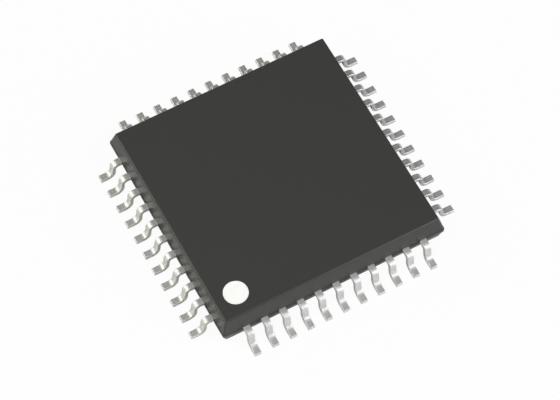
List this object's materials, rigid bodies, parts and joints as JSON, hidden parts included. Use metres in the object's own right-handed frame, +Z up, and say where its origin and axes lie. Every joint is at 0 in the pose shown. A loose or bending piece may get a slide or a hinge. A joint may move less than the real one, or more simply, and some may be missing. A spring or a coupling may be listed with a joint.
{
  "type": "quad flat pack chip",
  "caption": "Square low-profile integrated circuit package with gull-wing leads on all four sides and a round pin-one mark.",
  "frame": {"origin": "centre of the body in plan, on the plane that the feet stand on", "axes": "+Z up from the board; pin one is at the -X -Y corner, and the pins run counter-clockwise from above: -Y side, +X side, +Y side, -X side"},
  "size_m": [0.012, 0.012, 0.0016],
  "materials": {
    "mould_compound": "fine matte, moulded",
    "tin_plate": "matte tin plate on copper alloy",
    "bare_copper": "bare copper alloy",
    "attach_film": "silver-filled epoxy",
    "silicon": "polished",
    "gold_wire": "drawn gold",
    "white_ink": "flat printed ink"
  },
  "bodies": {
    "root": {"moulded_body": "mould_compound", "pin_one_dot": "white_ink", "die_paddle": "bare_copper", "die_attach": "attach_film", "silicon_die": "silicon", "bond_wires_front": "gold_wire", "bond_wires_right": "gold_wire", "bond_wires_back": "gold_wire", "bond_wires_left": "gold_wire", "lead_01": "tin_plate", "lead_02": "tin_plate", "lead_03": "tin_plate", "lead_04": "tin_plate", "lead_05": "tin_plate", "lead_06": "tin_plate", "lead_07": "tin_plate", "lead_08": "tin_plate", "lead_09": "tin_plate", "lead_10": "tin_plate", "lead_11": "tin_plate", "lead_12": "tin_plate", "lead_13": "tin_plate", "lead_14": "tin_plate", "lead_15": "tin_plate", "lead_16": "tin_plate", "lead_17": "tin_plate", "lead_18": "tin_plate", "lead_19": "tin_plate", "lead_20": "tin_plate", "lead_21": "tin_plate", "lead_22": "tin_plate", "lead_23": "tin_plate", "lead_24": "tin_plate", "lead_25": "tin_plate", "lead_26": "tin_plate", "lead_27": "tin_plate", "lead_28": "tin_plate", "lead_29": "tin_plate", "lead_30": "tin_plate", "lead_31": "tin_plate", "lead_32": "tin_plate", "lead_33": "tin_plate", "lead_34": "tin_plate", "lead_35": "tin_plate", "lead_36": "tin_plate", "lead_37": "tin_plate", "lead_38": "tin_plate", "lead_39": "tin_plate", "lead_40": "tin_plate", "lead_41": "tin_plate", "lead_42": "tin_plate", "lead_43": "tin_plate", "lead_44": "tin_plate"}
  },
  "joints": []
}
